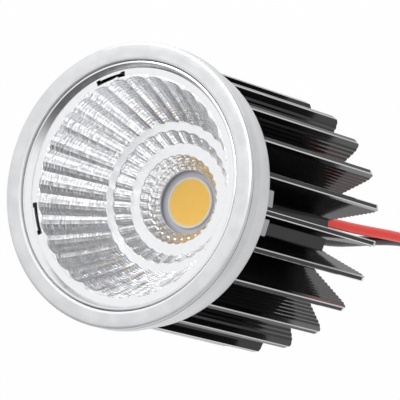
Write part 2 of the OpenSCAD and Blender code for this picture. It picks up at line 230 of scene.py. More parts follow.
class NodeTree:
    """A material under construction, with short ways to add and link its nodes."""

    def __init__(self, name: str) -> None:
        """Starts a material with one Principled shader.

        Args:
            name: The material's name.
        """
        self.material = bpy.data.materials.new(name)
        self.material.use_nodes = True
        self.nodes = self.material.node_tree.nodes
        self.links = self.material.node_tree.links
        self.shader = next(n for n in self.nodes if n.type == "BSDF_PRINCIPLED")
        self.coords = self.nodes.new("ShaderNodeTexCoord").outputs["Object"]

    def constant(self, **sockets: float | tuple[float, ...]) -> None:
        """Sets unlinked sockets of the shader.

        Args:
            sockets: Socket names, with underscores for spaces, and their values.
        """
        for name, value in sockets.items():
            self.shader.inputs[name.replace("_", " ")].default_value = value

    def math(self, operation: str, first: Socket | float, second: Socket | float = 0.0) -> Socket:
        """Adds one arithmetic node.

        Args:
            operation: The node's operation.
            first: The first number or socket.
            second: The second number or socket.

        Returns:
            The result.
        """
        node = self.nodes.new("ShaderNodeMath")
        node.operation = operation
        for slot, value in zip(node.inputs, (first, second)):
            if isinstance(value, (int, float)):
                slot.default_value = value
            else:
                self.links.new(value, slot)
        return node.outputs[0]

    def span(self, value: Socket, low: float, high: float, to_low: float = 0.0,
             to_high: float = 1.0) -> Socket:
        """Maps one range onto another, held at both ends.

        Args:
            value: The incoming number.
            low: Where the incoming range starts.
            high: Where it ends.
            to_low: What low becomes.
            to_high: What high becomes.

        Returns:
            The mapped number.
        """
        node = self.nodes.new("ShaderNodeMapRange")
        node.interpolation_type = "SMOOTHSTEP"
        self.links.new(value, node.inputs["Value"])
        names = ("From Min", "From Max", "To Min", "To Max")
        for name, number in zip(names, (low, high, to_low, to_high)):
            node.inputs[name].default_value = number
        return node.outputs[0]

    def axes(self) -> tuple[Socket, Socket, Socket]:
        """Splits the object coordinates.

        Returns:
            The distances along x, y and z in metres.
        """
        node = self.nodes.new("ShaderNodeSeparateXYZ")
        self.links.new(self.coords, node.inputs[0])
        return node.outputs[0], node.outputs[1], node.outputs[2]

    def polar(self) -> tuple[Socket, Socket, Socket]:
        """Turns the object coordinates into polar ones.

        Returns:
            Distance from the axis in metres, angle round it in radians, height in metres.
        """
        x, y, z = self.axes()
        squares = self.math("ADD", self.math("MULTIPLY", x, x), self.math("MULTIPLY", y, y))
        return self.math("SQRT", squares), self.math("ARCTAN2", y, x), z

    def noise(self, scale: float, detail: float = 3.0,
              stretch: tuple[float, float, float] = (1, 1, 1), roughness: float = 0.55) -> Socket:
        """Adds a noise pattern in object space.

        Args:
            scale: Features per metre.
            detail: Octaves of finer noise.
            stretch: How much closer the features lie along x, y and z.
            roughness: Weight of the finer octaves.

        Returns:
            The noise, about 0 to 1.
        """
        mapping = self.nodes.new("ShaderNodeMapping")
        mapping.inputs["Scale"].default_value = stretch
        self.links.new(self.coords, mapping.inputs["Vector"])
        node = self.nodes.new("ShaderNodeTexNoise")
        node.inputs["Scale"].default_value = scale
        node.inputs["Detail"].default_value = detail
        node.inputs["Roughness"].default_value = roughness
        self.links.new(mapping.outputs[0], node.inputs["Vector"])
        return node.outputs[0]

    def tint(self, factor: Socket, low: Color, high: Color) -> Socket:
        """Blends two colours.

        Args:
            factor: 0 for the first and 1 for the second.
            low: The first colour.
            high: The second colour.

        Returns:
            The blended colour.
        """
        node = self.nodes.new("ShaderNodeMix")
        node.data_type = "RGBA"
        self.links.new(factor, node.inputs["Factor"])
        node.inputs["A"].default_value = (*low, 1.0)
        node.inputs["B"].default_value = (*high, 1.0)
        return node.outputs["Result"]

    def over(self, factor: Socket, base: Socket, top: Socket) -> Socket:
        """Lays one linked colour over another.

        Args:
            factor: How much of the upper colour shows.
            base: The lower colour.
            top: The upper colour.

        Returns:
            The blended colour.
        """
        node = self.nodes.new("ShaderNodeMix")
        node.data_type = "RGBA"
        self.links.new(factor, node.inputs["Factor"])
        self.links.new(base, node.inputs["A"])
        self.links.new(top, node.inputs["B"])
        return node.outputs["Result"]

    def color(self, value: Socket) -> None:
        """Links the base colour."""
        self.links.new(value, self.shader.inputs["Base Color"])

    def rough(self, value: Socket) -> None:
        """Links the roughness."""
        self.links.new(value, self.shader.inputs["Roughness"])

    def relief(self, height: Socket, distance: float, strength: float = 1.0) -> None:
        """Adds a bump under any bump already there.

        Args:
            height: The height pattern.
            distance: Height in metres at a value of 1.
            strength: How strongly it shows.
        """
        node = self.nodes.new("ShaderNodeBump")
        node.inputs["Strength"].default_value = strength
        node.inputs["Distance"].default_value = distance
        self.links.new(height, node.inputs["Height"])
        normal = self.shader.inputs["Normal"]
        if normal.links:
            self.links.new(normal.links[0].from_socket, node.inputs["Normal"])
        self.links.new(node.outputs[0], normal)


@dataclass(frozen=True)
class TurnedAluminium:
    """Satin aluminium with the fine rings that turning leaves."""

    base: Color = (0.73, 0.735, 0.75)
    # Painted shade: the legs get this darker grey because they stand in shade.
    leg_shade: Color = (0.40, 0.40, 0.41)
    # Painted light: a paler grey in the opening that lifts the shade on its wall.
    bore: Color = (0.86, 0.865, 0.88)
    roughness: float = 0.34
    pitch: float = 0.09 * MM
    bore_edge: tuple[float, float] = (22.3 * MM, 22.2 * MM)
    bore_end: tuple[float, float] = (-4.0 * MM, -3.9 * MM)
    leg_shade_edge: tuple[float, float] = (-8.22 * MM, -8.4 * MM)

    def make(self) -> bpy.types.Material:
        """Makes the material.

        Returns:
            The material: turned outside; matt in the opening, with a paler grey there as painted
                light; a darker grey on the legs as painted shade.
        """
        tree = NodeTree("turned_aluminium")
        tree.constant(Metallic=1.0, IOR=1.45)
        radius, _, height = tree.polar()
        travel = tree.math("SUBTRACT", radius, height)
        rings = tree.math("SINE", tree.math("MULTIPLY", travel, math.tau / self.pitch))
        cloud = tree.noise(260.0, 4.0)
        shade = tree.math("ADD", tree.math("MULTIPLY", rings, 0.05), cloud)
        dark = tuple(0.90 * part for part in self.base)
        turned = tree.tint(tree.span(shade, 0.3, 0.7), dark, self.base)
        # The opening's wall gets a paler grey, painted light that lifts its shade, and a rougher
        # finish.
        bore = tree.math("MULTIPLY", tree.span(radius, *self.bore_edge),
                         tree.span(height, *self.bore_end))
        turned = tree.over(bore, turned, tree.tint(cloud, self.bore, self.bore))
        # Painted shade: below this height the legs get a darker grey that stands in for their
        # shade, and a rougher finish.
        shaded_legs = tree.span(height, *self.leg_shade_edge)
        light = tuple(1.3 * part for part in self.leg_shade)
        tree.color(tree.over(shaded_legs, turned, tree.tint(cloud, self.leg_shade, light)))
        grain = tree.span(cloud, 0.25, 0.75, self.roughness - 0.04, self.roughness + 0.06)
        blasted = tree.math("ADD", grain, tree.math("MULTIPLY", bore, 0.35))
        tree.rough(tree.math("ADD", blasted, tree.math("MULTIPLY", shaded_legs, 0.15)))
        tree.relief(rings, 0.0012 * MM, 0.35)
        tree.relief(tree.noise(5200.0, 2.0), 0.004 * MM, 0.3)
        return tree.material


@dataclass(frozen=True)
class MetallisedPlastic:
    """Bright vacuum-coated plastic whose flutes are broken into small pillows."""

    base: Color = (0.90, 0.905, 0.92)
    shade: Color = (0.42, 0.42, 0.42)
    roughness: float = 0.17
    flutes: int = 30
    pillows: int = 5
    pillow_len: float = 0.62 * MM
    lean: float = 0.11 * MM
    crown: float = 0.11 * MM
    bowl_edge: tuple[float, float] = (19.5 * MM, 19.2 * MM)
    ledges: tuple[float, float] = (-14.0 * MM, -16.7 * MM)
    ledge_reach: float = 0.12 * MM
    slot_top: tuple[float, float] = (-1.56 * MM, -1.62 * MM)
    slot_edge: tuple[float, float] = (19.40 * MM, 19.46 * MM)

    def make(self) -> bpy.types.Material:
        """Makes the material.

        Returns:
            The material: pillows on the tiers, plain ledges, and darker walls in the slots.
        """
        tree = NodeTree("metallised_plastic")
        tree.constant(Metallic=1.0, IOR=1.45)
        radius, angle, height = tree.polar()
        across = tree.math("MULTIPLY", angle, self.flutes * self.pillows / math.tau)
        along = tree.math("DIVIDE", height, self.pillow_len)
        pillow = tree.nodes.new("ShaderNodeCombineXYZ")
        tree.links.new(tree.math("FLOOR", across), pillow.inputs[0])
        tree.links.new(tree.math("FLOOR", along), pillow.inputs[1])
        chance = tree.nodes.new("ShaderNodeTexWhiteNoise")
        tree.links.new(pillow.outputs[0], chance.inputs["Vector"])
        split = tree.nodes.new("ShaderNodeSeparateColor")
        tree.links.new(chance.outputs["Color"], split.inputs[0])
        lean = crown = None
        for way, draw in ((across, split.outputs[0]), (along, split.outputs[1])):
            part = tree.math("FRACT", way)
            tilt = tree.math("MULTIPLY", tree.math("SUBTRACT", draw, 0.5), part)
            dome = tree.math("MULTIPLY", part, tree.math("SUBTRACT", 1.0, part))
            lean = tilt if lean is None else tree.math("ADD", lean, tilt)
            crown = dome if crown is None else tree.math("ADD", crown, dome)
        bowl = tree.span(radius, *self.bowl_edge)
        steep = tree.math("MULTIPLY", bowl, self.ledge_mask(tree, height))
        tree.relief(tree.math("MULTIPLY", lean, steep), self.lean, 1.0)
        tree.relief(tree.math("MULTIPLY", crown, steep), self.crown, 1.0)
        haze = tree.noise(900.0, 3.0)
        tree.rough(tree.span(haze, 0.3, 0.7, self.roughness - 0.03, self.roughness + 0.05))
        dull = tuple(0.95 * part for part in self.base)
        below = tree.span(height, *self.slot_top)
        shaded = tree.math("MULTIPLY", below, tree.span(radius, *self.slot_edge))
        bright = tree.tint(haze, self.base, dull)
        tree.color(tree.over(shaded, bright, tree.tint(haze, self.shade, self.shade)))
        return tree.material

    def ledge_mask(self, tree: NodeTree, height: Socket) -> Socket:
        """Gives 0 on the two flat ledges and 1 elsewhere.

        Args:
            tree: The material under construction.
            height: Height along the axis.

        Returns:
            The mask.
        """
        near = [tree.math("COMPARE", height, ledge) for ledge in self.ledges]
        for socket in near:
            socket.node.inputs[2].default_value = self.ledge_reach
        return tree.math("SUBTRACT", 1.0, tree.math("MAXIMUM", *near))


@dataclass(frozen=True)
class BlackAnodised:
    """Black anodised extrusion: drawn lines along the fins and a painted highlight of pale metal
    along the fin tips.
    """

    base: Color = (0.0045, 0.0043, 0.0045)
    # Painted highlight: pale metal colour for the thin band where the rounded fin tips catch the
    # light.
    edge: Color = (0.72, 0.72, 0.73)
    edge_inner: float = 23.06 * MM
    edge_outer: float = 23.22 * MM
    gloss: tuple[float, float] = (0.12, 0.18)

    def make(self) -> bpy.types.Material:
        """Makes the material.

        Returns:
            The material.
        """
        tree = NodeTree("black_anodised")
        tree.constant(IOR=1.5, Specular_IOR_Level=0.3)
        radius, _, _ = tree.polar()
        lines = tree.noise(1500.0, 3.0, (1.0, 1.0, 0.02))
        grit = tree.noise(6000.0, 2.0)
        inner = tree.span(radius, self.edge_inner - 0.02 * MM, self.edge_inner + 0.04 * MM)
        outer = tree.span(radius, self.edge_outer + 0.03 * MM, self.edge_outer - 0.01 * MM)
        # Painted highlight: a thin band at the fin tips' radius gets pale metal, in place of the
        # reflections that the rounded tips catch.
        painted_tip_highlight = tree.math("MULTIPLY", inner, outer)
        painted_tip_highlight = tree.math("MULTIPLY", painted_tip_highlight, tree.span(lines, 0.2, 0.6, 0.55, 1.0))
        soft = tuple(1.7 * part for part in self.base)
        black = tree.tint(lines, self.base, soft)
        tree.color(tree.over(painted_tip_highlight, black, tree.tint(grit, self.edge, self.edge)))
        tree.links.new(tree.math("MULTIPLY", painted_tip_highlight, 0.9), tree.shader.inputs["Metallic"])
        tree.rough(tree.span(lines, 0.3, 0.7, *self.gloss))
        tree.relief(lines, 0.006 * MM, 0.4)
        tree.relief(grit, 0.001 * MM, 0.4)
        return tree.material


@dataclass(frozen=True)
class Insulation:
    """Smooth soft insulation with a faint drawn texture."""

    name: str
    base: Color
    roughness: float = 0.32

    def make(self) -> bpy.types.Material:
        """Makes the material.

        Returns:
            The material.
        """
        tree = NodeTree(self.name)
        tree.constant(IOR=1.5, Specular_IOR_Level=0.3)
        drawn = tree.noise(900.0, 3.0, (1.0, 1.0, 0.12))
        tree.color(tree.tint(drawn, tuple(0.85 * part for part in self.base), self.base))
        tree.rough(tree.span(drawn, 0.3, 0.7, self.roughness - 0.05, self.roughness + 0.08))
        tree.relief(drawn, 0.02 * MM, 0.4)
        return tree.material


@dataclass(frozen=True)
class Plain:
    """A dull or metallic finish with fine grain and cloudy colour."""

    name: str
    base: Color
    metallic: float = 0.0
    roughness: float = 0.5
    grain: float = 2500.0
    depth: float = 0.01 * MM

    def make(self) -> bpy.types.Material:
        """Makes the material.

        Returns:
            The material.
        """
        tree = NodeTree(self.name)
        tree.constant(Metallic=self.metallic, IOR=1.48)
        cloud = tree.noise(self.grain / 6, 3.0)
        tree.color(tree.tint(cloud, tuple(0.88 * part for part in self.base), self.base))
        tree.rough(tree.span(cloud, 0.3, 0.7, self.roughness - 0.06, self.roughness + 0.06))
        tree.relief(tree.noise(self.grain, 3.0), self.depth, 0.5)
        return tree.material


class Finish(Enum):
    """Finishes of this module, each made once."""

    RING = TurnedAluminium()
    REFLECTOR = MetallisedPlastic()
    SINK = BlackAnodised()
    RED = Insulation("red_insulation", (0.93, 0.040, 0.030))
    BLACK = Insulation("black_insulation", (0.006, 0.006, 0.006))
    TINNED = Plain("tinned_strands", (0.70, 0.70, 0.68), 1.0, 0.3, 4000.0, 0.004 * MM)
    BUSH = Plain("bush_rubber", (0.03, 0.03, 0.03), 0.0, 0.6)
    PAD = Plain("thermal_pad", (0.42, 0.43, 0.46), 0.0, 0.8)
    BOARD = Plain("board_lacquer", (0.60, 0.60, 0.66), 0.0, 0.38, 1800.0, 0.003 * MM)
    DAM = Plain("dam_silicone", (0.80, 0.76, 0.66), 0.0, 0.25, 1500.0, 0.004 * MM)
    PHOSPHOR = Plain("phosphor", (1.0, 0.60, 0.12), 0.0, 0.55, 3500.0, 0.012 * MM)
    GOLD = Plain("gold_flash", (0.85, 0.62, 0.28), 1.0, 0.3, 3000.0, 0.003 * MM)
    SOLDER = Plain("solder", (0.62, 0.62, 0.62), 1.0, 0.22, 2500.0, 0.006 * MM)
    STEEL = Plain("zinc_plate", (0.58, 0.59, 0.60), 1.0, 0.33, 3000.0, 0.004 * MM)

    def material(self) -> bpy.types.Material:
        """Makes the finish's material on first use.

        Returns:
            The material.
        """
        found = _MADE.get(self.name)
        if found is None:
            found = self.value.make()
            _MADE[self.name] = found
        return found


_MADE: dict[str, bpy.types.Material] = {}


# ----- camera, stage


@dataclass
class Studio:
    """Camera, floor, world and lamps."""

    lens: float = 394.93
    sensor: float = 36.0
    clip: tuple[float, float] = (0.05, 20.0)
    place: tuple[float, float, float] = (418.92, -34.95, 624.48)
    right: tuple[float, float, float] = (0.827144, 0.204981, -0.523275)
    up: tuple[float, float, float] = (-0.147648, 0.977662, 0.149589)
    back: tuple[float, float, float] = (0.542249, -0.046471, 0.838932)
    aim: tuple[float, float, float] = (0, 0, -0.02)
    paper: float = 0.86
    floor_size: float = 8.0
    floor_white: float = 0.95
    floor_drop: float = 30 * MM
    floor_fade: tuple[float, float] = (0.0, 0.09)
    floor_dim: float = 0.78
    dark_side: float = 0.13
    bright_side: float = 0.98
    plain: float = 0.80
    rise: tuple[float, float] = (-0.72, -0.04)
    turn: tuple[float, float] = (0.42, 0.15)
    crown: tuple[float, float] = (0.55, 0.8)

    def camera(self) -> None:
        """Adds the camera at its viewing angle."""
        data = bpy.data.cameras.new("camera")
        data.lens = self.lens
        data.sensor_width = self.sensor
        data.clip_start, data.clip_end = self.clip
        eye = bpy.data.objects.new("camera", data)
        bpy.context.scene.collection.objects.link(eye)
        turn = Matrix((self.right, self.up, self.back)).transposed().to_4x4()
        eye.matrix_world = Matrix.Translation(Vector(self.place) * MM) @ turn
        bpy.context.scene.camera = eye
        bpy.context.scene.view_settings.view_transform = "Standard"

    def backdrop(self) -> bpy.types.Material:
        """Makes the white finish of the floor, which still takes the object's shadow.

        Returns:
            The material.
        """
        tree = NodeTree("paper_white")
        tree.constant(Roughness=0.9, Base_Color=(self.paper, self.paper, self.paper, 1.0))
        path = tree.nodes.new("ShaderNodeLightPath")
        glow = tree.nodes.new("ShaderNodeEmission")
        glow.inputs["Color"].default_value = (1, 1, 1, 1)
        side, _, _ = tree.axes()
        mirrored = tree.span(side, *self.floor_fade, 1.0, self.floor_dim)
        camera = path.outputs["Is Camera Ray"]
        tree.links.new(tree.math("MAXIMUM", camera, mirrored), glow.inputs["Strength"])
        seen = tree.math("MAXIMUM", camera, path.outputs["Is Glossy Ray"])
        mix = tree.nodes.new("ShaderNodeMixShader")
        tree.links.new(tree.math("MULTIPLY", seen, self.floor_white), mix.inputs[0])
        tree.links.new(tree.shader.outputs[0], mix.inputs[1])
        tree.links.new(glow.outputs[0], mix.inputs[2])
        out = next(n for n in tree.nodes if n.type == "OUTPUT_MATERIAL")
        tree.links.new(mix.outputs[0], out.inputs["Surface"])
        return tree.material

    def floor(self, lowest: float) -> None:
        """Adds the pale floor below the hanging leads.

        Args:
            lowest: The object's lowest height in metres.
        """
        deselect_all()
        bpy.ops.mesh.primitive_plane_add(size=self.floor_size,
                                         location=(0, 0, lowest - self.floor_drop))
        ground = bpy.context.active_object
        ground.name = "floor"
        ground.data.materials.append(self.backdrop())

    def world(self) -> None:
        """Gives the white surround that lights the object softly from all sides."""
        world = bpy.data.worlds.new("surround")
        bpy.context.scene.world = world
        world.use_nodes = True
        nodes, links = world.node_tree.nodes, world.node_tree.links
        back = next(n for n in nodes if n.type == "BACKGROUND")
        way = nodes.new("ShaderNodeSeparateXYZ")
        links.new(nodes.new("ShaderNodeTexCoord").outputs["Generated"], way.inputs[0])

        def ramp(value: Socket, low: float, high: float) -> Socket:
            """Makes a soft step.

            Args:
                value: The incoming number.
                low: Where the step is 0.
                high: Where it is 1.

            Returns:
                The step.
            """
            node = nodes.new("ShaderNodeMapRange")
            node.interpolation_type = "SMOOTHSTEP"
            links.new(value, node.inputs["Value"])
            node.inputs["From Min"].default_value = low
            node.inputs["From Max"].default_value = high
            return node.outputs[0]

        def blend(factor: Socket, low: Socket | float, high: Socket | float) -> Socket:
            """Blends two numbers.

            Args:
                factor: 0 for the first and 1 for the second.
                low: The first number.
                high: The second number.

            Returns:
                The blended number.
            """
            node = nodes.new("ShaderNodeMix")
            links.new(factor, node.inputs[0])
            for slot, value in ((2, low), (3, high)):
                if isinstance(value, float):
                    node.inputs[slot].default_value = value
                else:
                    links.new(value, node.inputs[slot])
            return node.outputs[0]

        above = ramp(way.outputs[1], *self.rise)
        away = blend(ramp(way.outputs[2], *self.crown), 1.0, ramp(way.outputs[0], *self.turn))
        lit = blend(above, 0.0, away)
        mirrored = blend(lit, self.dark_side, self.bright_side)
        path = nodes.new("ShaderNodeLightPath")
        seen = blend(path.outputs["Is Glossy Ray"], self.plain, mirrored)
        links.new(blend(path.outputs["Is Camera Ray"], seen, 1.0), back.inputs["Strength"])
        back.inputs["Color"].default_value = (1, 1, 1, 1)

    def lamp(self, name: str, spot: tuple[float, float, float], size: float, watts: float) -> None:
        """Adds one soft lamp that points at the ring.

        Args:
            name: The lamp's name.
            spot: Its place in metres.
            size: The side of its square face.
            watts: Its power.
        """
        data = bpy.data.lights.new(name, "AREA")
        data.shape = "SQUARE"
        data.size = size
        data.energy = watts
        lamp = bpy.data.objects.new(name, data)
        bpy.context.scene.collection.objects.link(lamp)
        turn = (Vector(self.aim) - Vector(spot)).to_track_quat("-Z", "Y")
        lamp.matrix_world = Matrix.Translation(spot) @ turn.to_matrix().to_4x4()

    def lamps(self) -> None:
        """Adds the soft lamps."""
        self.lamp("key", (-0.35, 0.55, 0.75), 0.5, 2.0)
        self.lamp("fill", (0.1, 0.3, 0.9), 0.3, 1.0)


# ----- leads


@dataclass
class Lead:
    """One insulated lead with its stripped, tinned end."""

    name: str
    finish: Finish
    slot: str
    route: list[tuple[float, float, float]]
    diameter: float = 1.9
    core: float = 0.9
    strip: float = 6.0
    strands: int = 7
    sides: int = 8
    steps: int = 24
    twist: float = 300
    swell: float = 1.05
    smooth: int = 6

    def tip_and_way(self) -> tuple[Vector, Vector]:
        """Returns the end of the insulation and the direction in which the lead runs there."""
        tip = Vector(self.route[-1])
        return tip, (tip - Vector(self.route[-2])).normalized()

    def jacket(self) -> bpy.types.Object:
        """Makes the insulated stretch as a curve of one open spline.

        Returns:
            The curve.
        """
        data = bpy.data.curves.new(self.name, "CURVE")
        data.dimensions = "3D"
        data.resolution_u = self.smooth
        data.bevel_depth = self.diameter / 2 * MM
        data.bevel_resolution = self.smooth
        data.use_fill_caps = True
        spline = data.splines.new("BEZIER")
        spline.bezier_points.add(len(self.route) - 1)
        for point, spot in zip(spline.bezier_points, self.route):
            point.co = Vector(spot) * MM
            point.handle_left_type = point.handle_right_type = "AUTO"
        piece = bpy.data.objects.new(self.name + "_jacket", data)
        bpy.context.scene.collection.objects.link(piece)
        piece.data.materials.append(self.finish.material())
        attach(piece, BODY)
        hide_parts(self.name)
        return piece

    def strand(self, offset: float, steps: int, twist: float) -> bpy.types.Object:
        """Extrudes one strand of the bare end from a filled circle.

        Args:
            offset: How far from the bundle's middle it starts, in metres.
            steps: In how many steps it is extruded.
            twist: How far it winds round the middle, in degrees.

        Returns:
            The strand.
        """
        deselect_all()
        bpy.ops.mesh.primitive_circle_add(
            vertices=self.sides, radius=self.core / 6 * self.swell * MM,
            location=(offset, 0, 0), fill_type="NGON")
        strand = bpy.context.active_object
        enter_edit(strand)
        for _ in range(steps):
            bpy.ops.mesh.extrude_region_move(
                TRANSFORM_OT_translate={"value": (0, 0, self.strip / steps * MM)})
            if twist:
                turn_about_axis(math.radians(twist / steps))
        leave_edit()
        return strand

    def bare_end(self) -> bpy.types.Object:
        """Makes the stripped end.

        Returns:
            A bundle of twisted, tinned strands.
        """
        tip, way = self.tip_and_way()
        outer = self.strand(self.core / 3 * MM, self.steps, self.twist)
        strands = [outer]
        for number in range(1, self.strands - 1):
            copy = outer.copy()
            copy.data = outer.data.copy()
            bpy.context.scene.collection.objects.link(copy)
            activate(copy)
            turn_about_axis(math.tau * number / (self.strands - 1))
            strands.append(copy)
        strands.append(self.strand(0, 1, 0))
        for strand in strands:
            activate(strand)
            freeze()
        bundle = join(strands, self.name + "_strands")
        enter_edit(bundle)
        face_outwards()
        leave_edit()
        turn = way.to_track_quat("Z", "Y").to_matrix().to_4x4()
        bundle.matrix_world = Matrix.Translation(tip * MM) @ turn
        settle(bundle, 40)
        place(bundle, "tinned_wire", Finish.TINNED.material(), self.name + "_end")
        return bundle

    def length(self) -> float:
        """Returns the length of the insulated stretch along the straight lines between its route
        points, in metres.
        """
        spots = [Vector(spot) for spot in self.route]
        return sum((b - a).length for a, b in zip(spots, spots[1:])) * MM

    def build(self) -> None:
        jacket = self.jacket()
        end = self.bare_end()
        log.info("%s: %.1f mm of insulated lead", self.name, self.length() / MM)


@dataclass
class LeadPair:
    """The red and the black lead, which hang from the rear of the heat sink."""

    red: list[tuple[float, float, float]] = field(default_factory=lambda: [
        (8, 2.8, -48.5), (7.9, 2.8, -54), (7.8, 2.9, -60), (7.7, 3.1, -66), (7.6, 3.4, -72),
        (7.5, 3.7, -78), (7.5, 3.9, -84), (7.6, 4, -90), (7.8, 4, -96), (8.1, 3.9, -102),
        (8.5, 3.7, -108), (8.9, 3.4, -114), (9.3, 3, -120), (9.7, 2.5, -126), (10, 2, -132),
        (10.2, 1.5, -138), (10.3, 1, -144), (10.3, 0.6, -150), (10.2, 0.3, -156)])
    black: list[tuple[float, float, float]] = field(default_factory=lambda: [
        (8, -0.8, -48.5), (7.9, -0.6, -54), (7.5, -0.1, -60), (6.9, 0.7, -66), (6.3, 1.6, -72),
        (5.8, 2.5, -78), (5.4, 3.2, -84), (5.1, 3.7, -90), (4.9, 4, -96), (4.8, 4.1, -102),
        (4.8, 4, -108), (4.9, 3.7, -114), (5.1, 3.2, -120), (5.4, 2.5, -126), (5.7, 1.7, -132),
        (6, 0.9, -138), (6.2, 0.1, -144), (6.3, -0.6, -150), (6.3, -1.2, -156)])

    def build(self) -> None:
        """Builds both leads."""
        Lead("red_lead", Finish.RED, "red_insulation", self.red).build()
        Lead("black_lead", Finish.BLACK, "black_insulation", self.black).build()


# ----- turned pieces


def lathe(name: str, rows: list[Row], segments: int, closed: bool) -> bpy.types.Object:
    """Builds a turned shell from a circle that is extruded and resized row by row.

    Args:
        name: The piece's name.
        rows: Radius and height of each row in millimetres.
        segments: Vertices round the axis.
        closed: Whether the last row joins the first.

    Returns:
        The shell, with its faces pointing outwards.
    """
    deselect_all()
    radius, height = rows[0]
    bpy.ops.mesh.primitive_circle_add(vertices=segments, radius=radius * MM, location=ORIGIN)
    piece = bpy.context.active_object
    piece.name = name
    enter_edit(piece)
    bpy.ops.mesh.select_all(action="SELECT")
    bpy.ops.transform.translate(value=(0, 0, height * MM))
    for next_radius, next_height in rows[1:] + (rows[:1] if closed else []):
        bpy.ops.mesh.extrude_region_move(
            TRANSFORM_OT_translate={"value": (0, 0, (next_height - height) * MM)})
        factor = next_radius / radius
        bpy.ops.transform.resize(value=(factor, factor, 1), center_override=ORIGIN)
        radius, height = next_radius, next_height
    if closed:
        bpy.ops.mesh.select_all(action="SELECT")
        bpy.ops.mesh.remove_doubles(threshold=WELD)
        face_outwards()
    leave_edit()
    return piece


@dataclass
class FrontRing:
    """Turned ring with a fine groove round its rim, a shelf and two pairs of legs."""

    rim_r: float = 25.0
    opening_r: float = 21.9
    rear_r: float = 23.8
    wall: float = 1.5
    depth: float = 8.2
    land: float = 2.4
    chamfer: float = 0.4
    opening_chamfer: float = 0.3
    shelf_z: float = -2.5
    shelf_t: float = 1.2
    shelf_w: float = 1.0
    leg_turn: float = 6.3
    leg_w: float = 3.0
    leg_t: float = 1.3
    leg_out: float = 2.9
    leg_bed: float = 0.6
    leg_edge: float = 0.18
    relief: float = 0.004
    groove_d: float = 0.16
    groove_z: tuple[float, float, float, float] = (-0.62, -0.70, -0.80, -0.88)
    segments: int = 240

    def profile(self) -> list[Row]:
        """Lists the ring's closed section, with a groove behind the rim's chamfer.

        Returns:
            Radius and height of each row.
        """
        face = -self.relief
        lip = self.opening_r + self.opening_chamfer
        land_end = -self.chamfer - self.land
        groove_r = self.rim_r - self.groove_d
        start, top, floor, end = self.groove_z
        shelf_rear = self.shelf_z - self.shelf_t
        bore = self.rear_r - self.wall
        return [
            (self.opening_r, -self.opening_chamfer), (self.opening_r + 0.09, -0.09),
            (lip, 0.0), (lip + 0.25, face), (23.4, face),
            (self.rim_r - self.chamfer - 0.2, face), (self.rim_r - self.chamfer, -0.03),
            (self.rim_r - 0.12, -0.12), (self.rim_r - 0.02, -0.32), (self.rim_r, -0.5),
            (self.rim_r - 0.01, start), (groove_r, top), (groove_r, floor),
            (self.rim_r - 0.01, end), (self.rim_r, -1.0),
            (self.rim_r, land_end), (self.rim_r - 0.1, land_end - 0.4),
            (self.rear_r + 0.1, -self.depth + 0.5), (self.rear_r - 0.02, -self.depth + 0.15),
            (self.rear_r - 0.2, -self.depth),
            (bore + 0.1, -self.depth), (bore, -self.depth + 0.1), (bore, shelf_rear),
            (self.opening_r - self.shelf_w, shelf_rear),
            (self.opening_r - self.shelf_w, self.shelf_z),
            (self.opening_r, self.shelf_z),
        ]

    def leg(self, turn: float) -> bpy.types.Object:
        """Makes one leg, a bevelled bar let into the wall.

        Args:
            turn: The leg's angle round the axis in degrees.

        Returns:
            The leg.
        """
        top = self.shelf_z - self.shelf_t
        foot = -self.depth - self.leg_out
        outer = self.rear_r - self.wall + self.leg_bed
        middle = Vector((outer - self.leg_t / 2, 0, (top + foot) / 2))
        deselect_all()
        bpy.ops.mesh.primitive_cube_add(size=1.0, location=middle * MM,
                                        scale=(self.leg_t * MM, self.leg_w * MM, (top - foot) * MM))
        bar = bpy.context.active_object
        freeze()
        enter_edit(bar)
        select_faces(bar, lambda face: face.normal.z < -0.9)
        bpy.ops.mesh.inset(thickness=self.leg_edge * MM)
        leave_edit()
        bevel = bar.modifiers.new("edges", "BEVEL")
        bevel.width = self.leg_edge * MM
        bevel.segments = 3
        bevel.limit_method = "ANGLE"
        apply_modifiers(bar)
        activate(bar)
        turn_about_axis(math.radians(turn))
        freeze()
        return bar

    def build(self) -> None:
        """Builds the ring with its legs."""
        ring = lathe("front_ring_turned", self.profile(), self.segments, True)
        legs = [self.leg(side + hand * self.leg_turn) for side in (0, 180) for hand in (-1, 1)]
        ring = join([ring, *legs], "front_ring_turned")
        settle(ring, 32)
        place(ring, "ring", Finish.RING.material(), "front_ring")


